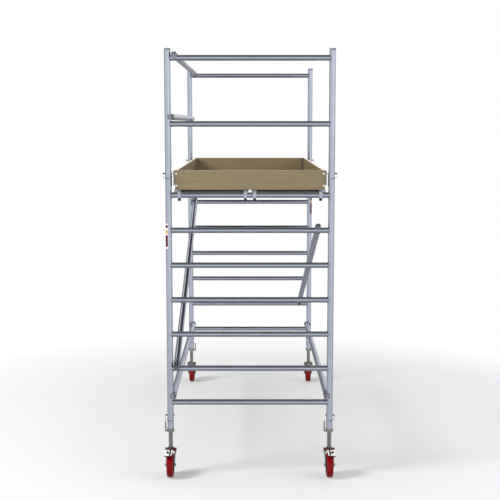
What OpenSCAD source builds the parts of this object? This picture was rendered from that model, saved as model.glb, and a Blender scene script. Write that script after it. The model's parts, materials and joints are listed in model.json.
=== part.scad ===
// Mobile scaffold tower: two ladder frames with guard rails, six braces, two deck platforms inside
// toe boards, and four screw-adjustable legs on braked castors. X is across, Y is along the deck,
// Z is up, and the origin is on the floor under the middle of the tower. Millimetres.

/* [Tower] */
// Distance between the two posts of a frame, centre to centre
frame_w = 1300; // [1290:1:1310]
// Distance between the front frame and the rear frame, centre to centre
bay_l = 3050; // [2400:10:3200]
// Height of the lowest rung above the floor
rung_1_z = 610; // [606:1:620]
// Distance from one rung to the next
rung_pitch = 282; // [278:1:284]

/* [Tubes] */
// Outer diameter of the posts
post_d = 50.8; // [50:0.2:52]
// Outer diameter of the rungs and guard rails
rung_d = 45; // [42:0.5:46]
// Outer diameter of the brace tubes
brace_d = 50.8; // [48:0.2:51]
// Wall thickness of every tube
wall = 2; // [1.6:0.1:2.4]

/* [Guard rails] */
// Height of the middle rail above the floor
mid_rail_z = 2866; // [2840:1:2900]
// Height of the top rail above the floor
top_rail_z = 3381; // [3360:1:3400]
// Height of the upper end of the guard-rail posts
guard_top_z = 3452; // [3430:1:3470]

/* [Deck] */
// Height of the standing surface
deck_z = 2345; // [2344:0.5:2346]
// Thickness of the plywood
deck_t = 15; // [9:1:15]
// Height of the toe boards
toe_h = 155; // [150:1:160]
// Thickness of the toe boards
toe_t = 20; // [18:1:20]

/* [Castors] */
// Diameter of the wheels
wheel_d = 200; // [190:1:200]
// Width of the wheels
wheel_w = 54; // [46:1:54]
// Distance from the swivel axis to the wheel's axle
castor_trail = 60; // [55:1:62]

/* [Leg screws] */
// Outer diameter of the screw tube
screw_d = 36; // [34:0.5:36]
// How far the screw goes up into the leg from where it stands
screw_up = 110; // [60:5:110]
// How far the screw comes down out of the leg from where it stands
screw_down = 150; // [60:5:150]

/* [Hidden] */
$fn = 64;
CORNERS = ["front_left", "front_right", "rear_left", "rear_right"];
SIDE_X = [-1, 1, -1, 1];
SIDE_Y = [-1, -1, 1, 1];
HANDLE_X = [-1, -1, 1, 1];

// Colours
ALUMINIUM = [0.74, 0.76, 0.83];
CAST_ALLOY = [0.62, 0.64, 0.68];
ZINC = [0.55, 0.56, 0.55];
PLYWOOD = [0.56, 0.50, 0.38];
WHEEL_RED = [0.55, 0.04, 0.06];
PEDAL_RED = [0.62, 0.06, 0.07];
BLACK = [0.08, 0.08, 0.09];

// Shared gaps: between solids of one node, and all round a turning or sliding fit
hair = 0.1;
run = 0.1;

// Frames
post_x = frame_w / 2;
frame_y = bay_l / 2;
rung_n = 7;
deck_rung_z = rung_1_z + 6 * rung_pitch;
post_bottom_z = 455;
post_top_z = 2435;
spigot_d = post_d - 2 * wall - 2 * hair;
spigot_wall = 4;
spigot_reach = 105;
pin_d = 10;
lower_pin_z = 501;
upper_pin_z = 2475;
cap_t = 4;
cap_plug = 22;

// Legs: the collar under each post, the nut and the screw
collar_bottom_z = 390.2;
leg_top_z = 575;
nut_bottom_z = 362;
nut_d = 58;
handle_r = 42;
handle_d = 12;
handle_top_z = 444;
screw_bore_d = 27;
screw_bottom_z = 226;
screw_top_z = 690;
slot_w = pin_d + 2;
race_d = 62;

// Castors, measured from the swivel axis
wheel_r = wheel_d / 2;
crown_z = [204, 210];
crown_half_w = 46;
housing_r = 32;
housing_top_z = 222;
kingpin_d = 14;
axle_d = 12;
leg_in = 31;
leg_t = 5;
pedal_pivot_z = 218.5;
pedal_pivot_d = 8;
band_in = 41;
band_out = 46;

// Braces: the axis of a brace tube runs brace_off away from the axis of the tube it grips
brace_off = 22;
claw_w = 36;
claw_head_w = 44;
claw_wall = 7;
claw_skin = 1;
plug_l = 45;
seat = 47;
pawl_x = 38;
pawl_y = -9;
pawl_t = 12;
diagonal_rise = 4 * rung_pitch;
diagonal_l = sqrt(bay_l * bay_l + diagonal_rise * diagonal_rise);
diagonal_tilt = atan(diagonal_rise / bay_l);
left_brace_x = post_x - 54;
right_brace_x = post_x - 105;
low_brace_z = rung_1_z + 52;
mid_brace_z = mid_rail_z + 55;
BRACES = ["low_left", "low_right", "diagonal_left", "diagonal_right", "guard_mid", "guard_top"];
BRACE_L = [bay_l, bay_l, diagonal_l, diagonal_l, bay_l, bay_l];
GRIPPED_D = [post_d, post_d, rung_d, rung_d, post_d, rung_d];
ENDS = ["front", "rear"];

// Platforms
platform_edge_x = 606;
panel_x = [12, 576];
beam_x = [37, 563];
beam_w = 30;
beam_t = 3;
beam_z = [2285, deck_z - deck_t];
panel_end_y = frame_y - 20.5;
beam_end_y = frame_y - 47;
cross_pitch = 660;
cross_first_y = -1200;
hatch_x = [70, 540];
hatch_y = [-1200, -540];
hatch_gap = 1;
hook_w = 26;
hook_nose = 33;
lock_pivot_y = 35;
lock_pivot_z = 2284;
lock_rod_d = 8;
lock_head_z = [2258, 2275.5];
lock_head_half = 11;
hinge_x = 540.5;
hinge_z = deck_z + 4.5;
HINGE_Y = [-1040, -700];
ring_x = [92, 130];
ring_y = -870;
ring_half = 35;
ring_d = 6;
ring_drop = 4.4;
pocket_d = 8.8;

// Toe boards
toe_side_x = [578, 598];
toe_end_x = 602;
toe_cut = [30, 35];
toe_top_z = deck_z + toe_h;
bolt_x = 588;
BOLT_Z = [deck_z + 33, deck_z + 128];
bolt_d = 6;

// ---------------------------------------------------------------- shared shapes

// Round tube along Z
module tube(d, t, z0, z1) {
    translate([0, 0, z0]) difference() {
        cylinder(d = d, h = z1 - z0);
        translate([0, 0, -1]) cylinder(d = d - 2 * t, h = z1 - z0 + 2);
    }
}

// Hole along X through a tube that stands on the Z axis
module pin_hole(z) {
    translate([0, 0, z]) rotate([0, 90, 0]) cylinder(d = pin_d + 2 * run, h = 2 * post_d, center = true);
}

// Rung or rail along X at height z, coped to sit against both posts
module rung(z) {
    difference() {
        translate([0, 0, z]) rotate([0, 90, 0]) tube(rung_d, wall, -post_x, post_x);
        for (side = [-1, 1]) translate([side * post_x, 0, z - rung_d])
            cylinder(d = post_d + 2 * hair, h = 2 * rung_d);
    }
}

// Box given by its two corners
module block(low, high) {
    translate(low) cube(high - low);
}

// Plate parallel to the YZ plane, from x0 to x1, with its outline drawn as [y, z]
module yz_plate(x0, x1) {
    translate([x0, 0, 0]) rotate([90, 0, 90]) linear_extrude(height = x1 - x0) children();
}

// Puts a child drawn at the origin under one of the four posts
module at_corner(i) {
    translate([SIDE_X[i] * post_x, SIDE_Y[i] * frame_y, 0]) children();
}

// ---------------------------------------------------------------- ladder frames

module ladder_frame(y) {
    color(ALUMINIUM) translate([0, y, 0]) {
        for (side = [-1, 1]) translate([side * post_x, 0, 0]) {
            difference() {
                tube(post_d, wall, post_bottom_z, post_top_z);
                pin_hole(lower_pin_z);
            }
            difference() {
                tube(spigot_d, spigot_wall, post_top_z - spigot_reach, post_top_z + spigot_reach);
                pin_hole(upper_pin_z);
            }
        }
        for (i = [0 : rung_n - 1]) rung(rung_1_z + i * rung_pitch);
    }
}

module front_frame() { ladder_frame(-frame_y); }
module rear_frame() { ladder_frame(frame_y); }

module guardrail_frame(y) {
    color(ALUMINIUM) translate([0, y, 0]) {
        for (side = [-1, 1]) translate([side * post_x, 0, 0]) difference() {
            tube(post_d, wall, post_top_z, guard_top_z);
            pin_hole(upper_pin_z);
        }
        for (z = [mid_rail_z, top_rail_z]) rung(z);
    }
}

module front_guardrail_frame() { guardrail_frame(-frame_y); }
module rear_guardrail_frame() { guardrail_frame(frame_y); }

module post_caps() {
    color(BLACK) for (i = [0 : 3]) at_corner(i) {
        translate([0, 0, guard_top_z]) cylinder(d = post_d, h = cap_t);
        translate([0, 0, guard_top_z - cap_plug]) cylinder(d = spigot_d, h = cap_plug);
    }
}

// ---------------------------------------------------------------- legs

// Collar under the post, with a spigot up inside it and a bore for the screw
module leg_tubes() {
    color(ALUMINIUM) for (i = [0 : 3]) at_corner(i) difference() {
        union() {
            translate([0, 0, collar_bottom_z]) cylinder(d = post_d, h = post_bottom_z - collar_bottom_z);
            translate([0, 0, collar_bottom_z]) cylinder(d = spigot_d, h = leg_top_z - collar_bottom_z);
        }
        translate([0, 0, collar_bottom_z - 1])
            cylinder(d = screw_d + 2 * run, h = leg_top_z - collar_bottom_z + 2);
        pin_hole(lower_pin_z);
    }
}

// Hollow screw: a slot on both sides lets the locking pin through and keeps it from turning
module leg_screw(i) {
    slot_low = lower_pin_z - screw_up - slot_w / 2;
    slot_high = lower_pin_z + screw_down + slot_w / 2;
    kingpin_head_z = 193;
    color(ZINC) at_corner(i) {
        difference() {
            union() {
                translate([0, 0, screw_bottom_z]) cylinder(d = screw_d, h = screw_top_z - screw_bottom_z);
                translate([0, 0, housing_top_z + 0.6]) cylinder(d = race_d, h = 6);
            }
            translate([0, 0, screw_bottom_z + 20]) cylinder(d = screw_bore_d, h = screw_top_z);
            block([-screw_d, -slot_w / 2, slot_low], [screw_d, slot_w / 2, slot_high]);
        }
        translate([0, 0, kingpin_head_z]) cylinder(d = kingpin_d, h = screw_bottom_z + 10 - kingpin_head_z);
        translate([0, 0, kingpin_head_z]) cylinder(d = 24, h = crown_z[0] - kingpin_head_z - 0.3);
    }
}

// Nut that the post's collar rests on, with an upright handle to turn it by
module leg_nut(i) {
    color(ZINC) at_corner(i) {
        difference() {
            union() {
                translate([0, 0, nut_bottom_z])
                    cylinder(d = nut_d, h = collar_bottom_z - 2 * hair - nut_bottom_z);
                translate([0, 0, nut_bottom_z + handle_d / 2]) rotate([0, 90 * HANDLE_X[i], 0])
                    cylinder(d = handle_d, h = handle_r);
            }
            translate([0, 0, nut_bottom_z - 1]) cylinder(d = screw_d + 2 * run, h = 40);
        }
        translate([HANDLE_X[i] * handle_r, 0, nut_bottom_z + handle_d / 2]) {
            sphere(d = handle_d);
            cylinder(d = handle_d, h = handle_top_z - nut_bottom_z - handle_d / 2);
        }
        translate([HANDLE_X[i] * handle_r, 0, handle_top_z]) sphere(d = handle_d);
    }
}

// ---------------------------------------------------------------- castors

// Draws a castor part, given with its wheel towards -Y, at corner i
module at_castor(i) {
    at_corner(i) {
        if (SIDE_Y[i] < 0) children();
        else mirror([0, 1, 0]) children();
    }
}

// Outline of one fork leg, as [y, z]
module fork_leg_2d() {
    difference() {
        union() {
            polygon([[-36, crown_z[1]], [34, crown_z[1]], [34, 192], [-castor_trail + 19, wheel_r - 4],
                     [-castor_trail - 19, wheel_r + 2], [-castor_trail - 12, 160], [-36, 188]]);
            translate([-castor_trail, wheel_r]) circle(r = 19);
        }
        translate([-castor_trail, wheel_r]) circle(d = axle_d - 2);
    }
}

module castor_fork(i) {
    color(ZINC) at_castor(i) {
        difference() {
            union() {
                block([-crown_half_w, -36, crown_z[0]], [crown_half_w, 34, crown_z[1]]);
                translate([0, 0, crown_z[0]]) cylinder(r = housing_r, h = housing_top_z - crown_z[0]);
            }
            translate([0, 0, 190]) cylinder(d = kingpin_d + 2 * run, h = 50);
        }
        for (side = [-1, 1]) mirror([side < 0 ? 1 : 0, 0, 0]) {
            yz_plate(leg_in, leg_in + leg_t) fork_leg_2d();
            // Shoulder that carries the leg up to the wider crown
            translate([0, -34, 0]) rotate([-90, 0, 0]) linear_extrude(height = 64)
                polygon([[leg_in, -crown_z[1]], [crown_half_w, -crown_z[1]], [crown_half_w, -196],
                         [leg_in + leg_t, -158], [leg_in, -158]]);
            // Lug and stud that the pedal turns on
            block([housing_r + 1, -7, crown_z[0]], [housing_r + 6, 7, pedal_pivot_z + 6]);
            translate([housing_r + 3, 0, pedal_pivot_z]) rotate([0, 90, 0])
                cylinder(d = pedal_pivot_d, h = band_out - housing_r - 2);
            // Head or nut of the axle bolt
            translate([leg_in + leg_t, -castor_trail, wheel_r]) rotate([0, 90, 0])
                cylinder(d = 20, h = 7, $fn = 6);
        }
        translate([0, -castor_trail, wheel_r]) rotate([0, 90, 0])
            cylinder(d = axle_d, h = 2 * (leg_in + leg_t), center = true);
    }
}

// Rectangle with round corners, centred, drawn with true arcs
module rounded_square(w, h, r) {
    square([w - 2 * r, h], center = true);
    square([w, h - 2 * r], center = true);
    for (x = [-1, 1], y = [-1, 1]) translate([x * (w / 2 - r), y * (h / 2 - r)]) circle(r = r);
}

// Half section of the wheel: x is the radius and y is the width
module wheel_2d() {
    tread_r = 16;
    rim_in = 72;
    hub_r = 26;
    hub_half = leg_in - 1;
    intersection() {
        difference() {
            union() {
                rounded_square(2 * wheel_r, wheel_w, tread_r);
                square([2 * hub_r, 2 * hub_half], center = true);
            }
            for (y = [-1, 1]) translate([(rim_in + hub_r) / 2, y * (wheel_w / 2 + 6)])
                square([rim_in - hub_r, 36], center = true);
            square([axle_d + 2 * run, 200], center = true);
        }
        translate([0, -wheel_d]) square([wheel_d, 2 * wheel_d]);
    }
}

module castor_wheel(i) {
    color(WHEEL_RED) at_castor(i) translate([0, -castor_trail, wheel_r]) rotate([0, 90, 0])
        rotate_extrude($fn = 96) wheel_2d();
}

// Brake pedal: a band round the swivel head that turns on two studs, with a foot plate in front
// that reaches towards the outside of the tower
module brake_pedal(i) {
    plate_z = 219;
    plate_tilt = 10;
    plate_l = 106;
    plate_t = 3;
    plate_2d = [[-band_out, 0], [-band_out, -plate_l], [14, -plate_l], [24, 0]];
    band_z = [pedal_pivot_z - 3, pedal_pivot_z + 8];
    color(PEDAL_RED) at_castor(i) mirror([SIDE_X[i] < 0 ? 0 : 1, 0, 0]) difference() {
        union() {
            difference() {
                translate([0, 0, band_z[0]]) cylinder(r = band_out, h = band_z[1] - band_z[0]);
                block([-60, 0, 200], [60, 60, 240]);
            }
            for (side = [-1, 1]) mirror([side < 0 ? 1 : 0, 0, 0]) {
                block([band_in, -1, band_z[0]], [band_out, 8, band_z[1]]);
                translate([band_in, 0, pedal_pivot_z]) rotate([0, 90, 0])
                    cylinder(r = 7, h = band_out - band_in);
            }
            translate([0, -42, plate_z]) rotate([plate_tilt, 0, 0])
                translate([0, 0, -plate_t]) linear_extrude(height = plate_t) polygon(plate_2d);
        }
        translate([0, 0, 190]) cylinder(r = band_in, h = 50);
        translate([0, 0, pedal_pivot_z]) rotate([0, 90, 0])
            cylinder(d = pedal_pivot_d + 2 * run, h = 2 * band_out + 10, center = true);
    }
}

// ---------------------------------------------------------------- locking pins

// Through pin with a wire clip that half circles the post below it
module locking_pin(i, z) {
    inner = 34;
    outer = 45;
    wire_d = 3.2;
    wire_r = post_d / 2 + wire_d / 2 + 0.4;
    drop = z == lower_pin_z ? 40 : 36;
    color(ZINC) at_corner(i) mirror([SIDE_X[i] < 0 ? 1 : 0, 0, 0]) translate([0, 0, z]) {
        translate([-inner, 0, 0]) rotate([0, 90, 0]) cylinder(d = pin_d, h = inner + outer);
        translate([outer - wire_d, 0, -drop]) cylinder(d = wire_d, h = drop);
        translate([outer - wire_d, 0, -drop]) sphere(d = wire_d);
        translate([wire_r - 1, 0, -drop]) rotate([0, 90, 0])
            cylinder(d = wire_d, h = outer - wire_d - wire_r + 1);
        translate([0, 0, -drop]) rotate([0, 0, -90]) rotate_extrude(angle = 180)
            translate([wire_r, 0]) circle(d = wire_d, $fn = 24);
    }
}

// ---------------------------------------------------------------- braces

// Carries a brace, drawn from a gripped tube on the Z axis along +X, to its place in the tower
module at_brace(b) {
    if (b == 0) translate([-post_x, -frame_y, low_brace_z]) rotate([180, 0, 90]) children();
    if (b == 1) mirror([1, 0, 0])
        translate([-post_x, -frame_y, low_brace_z]) rotate([180, 0, 90]) children();
    if (b == 2) translate([-left_brace_x, -frame_y, rung_1_z + rung_pitch])
        rotate([diagonal_tilt, 0, 0]) rotate([90, 0, 90]) children();
    if (b == 3) translate([right_brace_x, -frame_y, rung_1_z + 5 * rung_pitch])
        rotate([-diagonal_tilt, 0, 0]) rotate([90, 0, 90]) children();
    if (b == 4) translate([-post_x, -frame_y, mid_brace_z]) rotate([180, 0, 90]) children();
    if (b == 5) translate([-left_brace_x, -frame_y, top_rail_z]) rotate([90, 0, 90]) children();
}

// Same, for the claw at one end of the brace
module at_claw(b, e) {
    at_brace(b) {
        if (e == 0) children();
        else translate([BRACE_L[b], 0, 0]) mirror([1, 0, 0]) children();
    }
}

module brace_tubes() {
    color(ALUMINIUM) for (b = [0 : len(BRACES) - 1])
        at_brace(b) translate([0, brace_off, 0]) rotate([0, 90, 0])
            tube(brace_d, wall, seat, BRACE_L[b] - seat);
}

// Cast claw: a flat-sided head over the gripped tube with slots between its ribs, a round collar,
// a box for the pawl and a plug for the brace tube
module claw(grip_d) {
    grip_r = grip_d / 2 + 0.3;
    jaw_r = grip_r + claw_wall;
    slot_low = grip_r + 3;
    slot_end = 6;
    rib_slot_w = 7;
    collar_x = 32;
    difference() {
        union() {
            intersection() {
                translate([-jaw_r, brace_off, 0]) rotate([0, 90, 0])
                    cylinder(d = brace_d + 2 * claw_skin, h = jaw_r + seat);
                union() {
                    block([-2 * jaw_r, -brace_d, -claw_head_w / 2],
                          [2 * seat, 2 * brace_d, claw_head_w / 2]);
                    block([collar_x, -brace_d, -brace_d], [2 * seat, 2 * brace_d, brace_d]);
                }
            }
            translate([0, brace_off, 0]) rotate([0, 90, 0])
                cylinder(d = brace_d - 2 * wall - 2 * hair, h = seat + plug_l);
            block([grip_r, pawl_y - 8, -claw_w / 2], [pawl_x + 8, 12, claw_w / 2]);
        }
        cylinder(r = grip_r, h = 4 * claw_w, center = true);
        block([0, -60, -pawl_t / 2 - 0.5], [pawl_x + 20, pawl_y + 9, pawl_t / 2 + 0.5]);
        for (side = [-1, 1])
            block([-2 * jaw_r, slot_low, side * 9 - rib_slot_w / 2],
                  [slot_end, 2 * brace_d, side * 9 + rib_slot_w / 2]);
    }
    translate([pawl_x, pawl_y, 0]) cylinder(d = 6, h = claw_w - 2, center = true);
}

module brace_claws() {
    color(CAST_ALLOY) for (b = [0 : len(BRACES) - 1], e = [0, 1]) at_claw(b, e) claw(GRIPPED_D[b]);
}

// Sprung pawl that closes the open side of a claw, with its tip no further out than the gripped tube
module claw_pawl(b, e) {
    reach = GRIPPED_D[b] / 2;
    in_r = reach + 1;
    out_r = in_r + 6;
    root = 30;
    color(BLACK) at_claw(b, e) difference() {
        union() {
            intersection() {
                cylinder(r = out_r, h = pawl_t, center = true);
                linear_extrude(height = pawl_t, center = true)
                    polygon([[0, 0], [0, -reach], [reach / tan(root), -reach]]);
            }
            linear_extrude(height = pawl_t, center = true)
                polygon([[pawl_x - 7, pawl_y], [pawl_x + 3, pawl_y - 7],
                         [14, -reach + 1], [(in_r - 2) * cos(root), (2 - in_r) * sin(root)]]);
            translate([pawl_x, pawl_y, 0]) cylinder(r = 7.5, h = pawl_t, center = true);
        }
        cylinder(r = in_r, h = 2 * pawl_t, center = true);
        translate([pawl_x, pawl_y, 0]) cylinder(d = 6 + 2 * run, h = 2 * pawl_t, center = true);
    }
}

// ---------------------------------------------------------------- platforms

// Draws one platform's part, given for x > 0, on side 0 (left) or 1 (right)
module on_side(s) {
    mirror([s == 0 ? 1 : 0, 0, 0]) children();
}

module platform_frame(s) {
    inner = beam_x[0] + beam_w / 2 + hair;
    outer = beam_x[1] - beam_w / 2 - hair;
    module box_beam(x) {
        difference() {
            block([x - beam_w / 2, -beam_end_y, beam_z[0]], [x + beam_w / 2, beam_end_y, beam_z[1]]);
            block([x - beam_w / 2 + beam_t, -frame_y, beam_z[0] + beam_t],
                  [x + beam_w / 2 - beam_t, frame_y, beam_z[1] - beam_t]);
        }
    }
    box_beam(beam_x[0]);
    box_beam(beam_x[1]);
    // Edge strip level with the plywood, which the side toe board stands on
    block([panel_x[1] + hair, -panel_end_y, beam_z[1] + hair], [platform_edge_x, panel_end_y, deck_z]);
    block([beam_x[1] + beam_w / 2 + hair, -panel_end_y, beam_z[1] - 12],
          [platform_edge_x, panel_end_y, beam_z[1] + hair + 1]);
    for (y = [-beam_end_y + 15, beam_end_y - 15])
        block([inner, y - 15, beam_z[0] + 6], [outer, y + 15, beam_z[1]]);
    for (k = [0 : 3]) translate([0, cross_first_y + k * cross_pitch, 0])
        block([inner, -10, beam_z[1] - 24], [outer, 10, beam_z[1]]);
}

// Leaf, two knuckles and pin of one trapdoor hinge, fixed beside the opening
module hinge_fixed(y) {
    block([hinge_x + 4.6, y - 30, deck_z], [hinge_x + 30, y + 30, deck_z + 2]);
    for (end = [-1, 1]) {
        translate([hinge_x, y + end * 22, hinge_z]) rotate([90, 0, 0])
            cylinder(d = 8, h = 16, center = true);
        block([hinge_x + 1.5, y + end * 22 - 8, deck_z], [hinge_x + 6, y + end * 22 + 8, hinge_z + 1]);
    }
    translate([hinge_x, y, hinge_z]) rotate([90, 0, 0]) cylinder(d = 4, h = 58, center = true);
}

module platform_frames() {
    color(ALUMINIUM) {
        for (s = [0, 1]) on_side(s) platform_frame(s);
        for (y = HINGE_Y) hinge_fixed(y);
    }
}

module deck_panels() {
    color(PLYWOOD) for (s = [0, 1]) on_side(s) difference() {
        block([panel_x[0], -panel_end_y, deck_z - deck_t], [panel_x[1], panel_end_y, deck_z]);
        if (s == 1) block([hatch_x[0], hatch_y[0], deck_z - 20], [hatch_x[1], hatch_y[1], deck_z + 20]);
    }
}

// Hook over the deck rung, drawn for the front end around the rung's axis
module hook() {
    half = hook_w / 2;
    tail = frame_y - beam_end_y - hair;
    difference() {
        union() {
            yz_plate(-half, half) difference() {
                union() {
                    polygon([[-hook_nose, -20], [-hook_nose, 26], [-26, deck_z - deck_rung_z],
                             [20, deck_z - deck_rung_z], [20, beam_z[1] - deck_rung_z - hair],
                             [tail, beam_z[1] - deck_rung_z - hair], [tail, -25], [20, -25], [20, 0],
                             [-20, 0], [-24, -20]]);
                    translate([-hook_nose + 4.5, -20]) circle(r = 4.5);
                }
                circle(d = rung_d + 0.6);
                translate([lock_pivot_y, lock_pivot_z - deck_rung_z]) circle(d = lock_rod_d + 2 * run);
            }
        }
        block([-6.5, 22.6, -40], [6.5, 60, -8]);
    }
}

module platform_hooks() {
    color(CAST_ALLOY) for (end = [0, 1], s = [0, 1], x = beam_x)
        mirror([0, end, 0]) on_side(s) translate([x, -frame_y, deck_rung_z]) hook();
}

// Two latches on one rod, which swing up under the rung and keep wind from lifting the platform
module wind_lock(i) {
    drop = lock_pivot_z - deck_rung_z;
    head = [lock_head_z[0] - deck_rung_z, lock_head_z[1] - deck_rung_z];
    color(BLACK) mirror([0, SIDE_Y[i] < 0 ? 0 : 1, 0]) on_side(SIDE_X[i] < 0 ? 0 : 1)
        translate([0, -frame_y, deck_rung_z]) {
            for (x = beam_x) translate([x, 0, 0]) {
                yz_plate(-6, 6) difference() {
                    union() {
                        polygon([[lock_pivot_y, drop + 6], [lock_pivot_y + 4, drop - 6], [16, head[0]],
                                 [12, head[0]], [12, head[1]], [24, head[1]]]);
                        translate([lock_pivot_y, drop]) circle(r = 7);
                    }
                    circle(d = rung_d + 2);
                }
                yz_plate(-lock_head_half, lock_head_half)
                    polygon([[-31, head[0] + 5], [-27, head[0]], [16, head[0]], [20, head[1] - 1],
                             [-31, head[1]]]);
            }
            translate([beam_x[0] - 15, lock_pivot_y, drop]) rotate([0, 90, 0])
                cylinder(d = lock_rod_d, h = beam_x[1] - beam_x[0] + 30);
        }
}

// ---------------------------------------------------------------- trapdoor

module trapdoor() {
    low = [hatch_x[0] + hatch_gap, hatch_y[0] + hatch_gap, deck_z - deck_t];
    high = [hatch_x[1] - hatch_gap, hatch_y[1] - hatch_gap, deck_z];
    color(PLYWOOD) {
        difference() {
            block(low, high);
            block([ring_x[0] - 8, ring_y - ring_half - 6, deck_z - pocket_d],
                  [ring_x[1] + 6, ring_y + ring_half + 6, deck_z + 1]);
            translate([ring_x[1] - ring_d / 2, ring_y, deck_z - ring_drop]) rotate([90, 0, 0])
                cylinder(d = ring_d - 2 + 2 * run, h = 2 * ring_half + 24, center = true);
        }
        for (y = HINGE_Y) difference() {
            union() {
                block([hinge_x - 30, y - 30, deck_z - 0.5], [hinge_x - 4.6, y + 30, deck_z + 2]);
                block([hinge_x - 6, y - 13.5, deck_z - 0.5], [hinge_x - 1.5, y + 13.5, hinge_z + 1]);
                translate([hinge_x, y, hinge_z]) rotate([90, 0, 0]) cylinder(d = 8, h = 27, center = true);
            }
            translate([hinge_x, y, hinge_z]) rotate([90, 0, 0])
                cylinder(d = 4 + 2 * run, h = 80, center = true);
        }
    }
}

// Lifting ring that lies in a pocket in the trapdoor and swings up on its own two ends
module trapdoor_ring() {
    color(ZINC) translate([0, ring_y, deck_z - ring_drop]) {
        for (end = [-1, 1]) {
            translate([ring_x[0], end * ring_half, 0]) rotate([0, 90, 0])
                cylinder(d = ring_d, h = ring_x[1] - ring_x[0]);
            translate([ring_x[1] - ring_d / 2, end * (ring_half + 3), 0]) rotate([90, 0, 0])
                cylinder(d = ring_d - 2, h = 15, center = true);
        }
        translate([ring_x[0], 0, 0]) rotate([90, 0, 0])
            cylinder(d = ring_d, h = 2 * ring_half + ring_d + 1, center = true);
    }
}

// ---------------------------------------------------------------- toe boards

// Outline of an end board, which has its lower corners cut off
module toe_end_2d() {
    polygon([[toe_end_x - toe_cut[0], 0], [toe_end_x, toe_cut[1]], [toe_end_x, toe_h],
             [-toe_end_x, toe_h], [-toe_end_x, toe_cut[1]], [-toe_end_x + toe_cut[0], 0]]);
}

module toe_boards() {
    color(PLYWOOD) {
        for (end = [-1, 1]) difference() {
            translate([0, end * (frame_y - toe_t / 2) + toe_t / 2, deck_z]) rotate([90, 0, 0])
                linear_extrude(height = toe_t) toe_end_2d();
            for (side = [-1, 1], z = BOLT_Z) translate([side * bolt_x, end * frame_y, z]) rotate([90, 0, 0])
                cylinder(d = bolt_d + 0.4, h = 100, center = true);
        }
        for (side = [-1, 1]) mirror([side < 0 ? 1 : 0, 0, 0]) difference() {
            block([toe_side_x[0], -frame_y + toe_t + hair, deck_z],
                  [toe_side_x[1], frame_y - toe_t - hair, toe_top_z]);
            for (end = [-1, 1], z = BOLT_Z) translate([bolt_x, end * frame_y, z]) rotate([90, 0, 0])
                cylinder(d = bolt_d + 0.4, h = 140, center = true);
        }
    }
}

// Angle bracket round each outer corner and a row of knuckles in each inner corner
module toe_board_brackets() {
    t = 3;
    side_t = 9;
    lip = 15;
    corner = toe_end_x + side_t;
    knuckle_n = 5;
    knuckle_d = 10;
    knuckle_h = 23;
    knuckle_gap = 6;
    leaf_l = 18;
    color(CAST_ALLOY) for (i = [0 : 3])
        mirror([SIDE_X[i] < 0 ? 1 : 0, 0, 0]) mirror([0, SIDE_Y[i] < 0 ? 0 : 1, 0])
            translate([0, -frame_y, deck_z + 3]) {
                translate([0, 0, toe_cut[1]]) linear_extrude(height = toe_h - toe_cut[1] - 6)
                    polygon([[corner - lip, -t], [corner, -t], [corner, toe_t + 4],
                             [toe_side_x[1] + t, toe_t + 4], [toe_side_x[1] + t, toe_t + 60],
                             [toe_side_x[1] + hair, toe_t + 60],
                             [toe_side_x[1] + hair, toe_t + hair], [toe_end_x + hair, toe_t + hair],
                             [toe_end_x + hair, -hair], [corner - lip, -hair]]);
                // Knuckles, with their leaves on the end board and the side board in turn
                for (k = [0 : knuckle_n - 1])
                    translate([toe_side_x[0] - knuckle_d / 2 - 2 * hair, toe_t + knuckle_d / 2 + 2 * hair,
                               4 + (knuckle_h + knuckle_gap) * k]) {
                        cylinder(d = knuckle_d, h = knuckle_h);
                        if (k % 2 == 0)
                            translate([-leaf_l, -knuckle_d / 2, 0]) cube([leaf_l, t, knuckle_h]);
                        else translate([knuckle_d / 2 - t, 0, 0]) cube([t, leaf_l, knuckle_h]);
                    }
            }
}

module toe_board_bolts() {
    color(ZINC) for (i = [0 : 3], z = BOLT_Z)
        translate([SIDE_X[i] * bolt_x, SIDE_Y[i] * frame_y, z]) rotate([-90 * SIDE_Y[i], 0, 0]) {
            translate([0, 0, -50]) cylinder(d = bolt_d, h = 50);
            cylinder(d = 14, h = 2.4);
            translate([0, 0, 2.4]) cylinder(d = 9, h = 1.6);
        }
}

// ---------------------------------------------------------------- nodes

front_frame();
rear_frame();
front_guardrail_frame();
rear_guardrail_frame();
post_caps();
leg_tubes();
brace_tubes();
brace_claws();
platform_frames();
deck_panels();
platform_hooks();
toe_boards();
toe_board_brackets();
toe_board_bolts();
trapdoor();
trapdoor_ring();
for (i = [0 : 3]) {
    leg_screw(i);
    leg_nut(i);
    castor_fork(i);
    castor_wheel(i);
    brake_pedal(i);
    locking_pin(i, lower_pin_z);
    locking_pin(i, upper_pin_z);
    wind_lock(i);
}
for (b = [0 : len(BRACES) - 1], e = [0, 1])
    claw_pawl(b, e);
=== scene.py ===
import json
from math import atan2, cos, hypot, pi, radians, sin, sqrt, tau

import bpy
from mathutils import Matrix, Vector


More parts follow.
